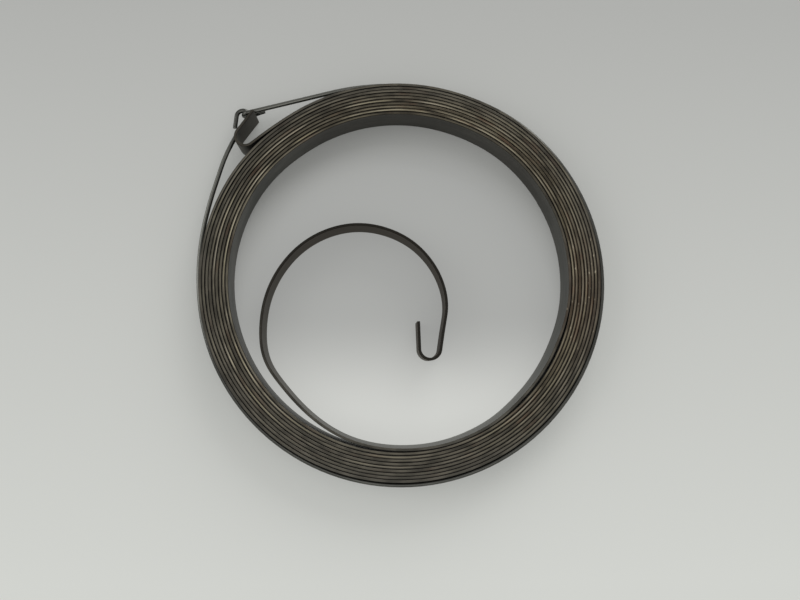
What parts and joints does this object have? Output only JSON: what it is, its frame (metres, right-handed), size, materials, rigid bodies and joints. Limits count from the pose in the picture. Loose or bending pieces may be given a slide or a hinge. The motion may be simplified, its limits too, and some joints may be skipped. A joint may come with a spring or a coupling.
{
  "type": "recoil starter spring",
  "caption": "Recoil starter spring: flat steel strip wound into a tight ring, hooked at both ends, with a free inner loop and a round wire that holds the ring closed.",
  "frame": {"origin": "on the ring's axis, in the plane of the lower strip edges that the ring rests on", "axes": "+Z along the ring's axis, up from the resting plane; +X towards the picture's right and +Y towards its top, so that the outer hook is at the upper left"},
  "size_m": [0.0815, 0.0817, 0.007],
  "materials": {
    "spring_steel": "tempered strip, oiled, with tan and rusty edges",
    "steel_wire": "dark drawn wire"
  },
  "bodies": {
    "root": {"spring_strip": "spring_steel", "retaining_wire": "steel_wire"}
  },
  "joints": []
}
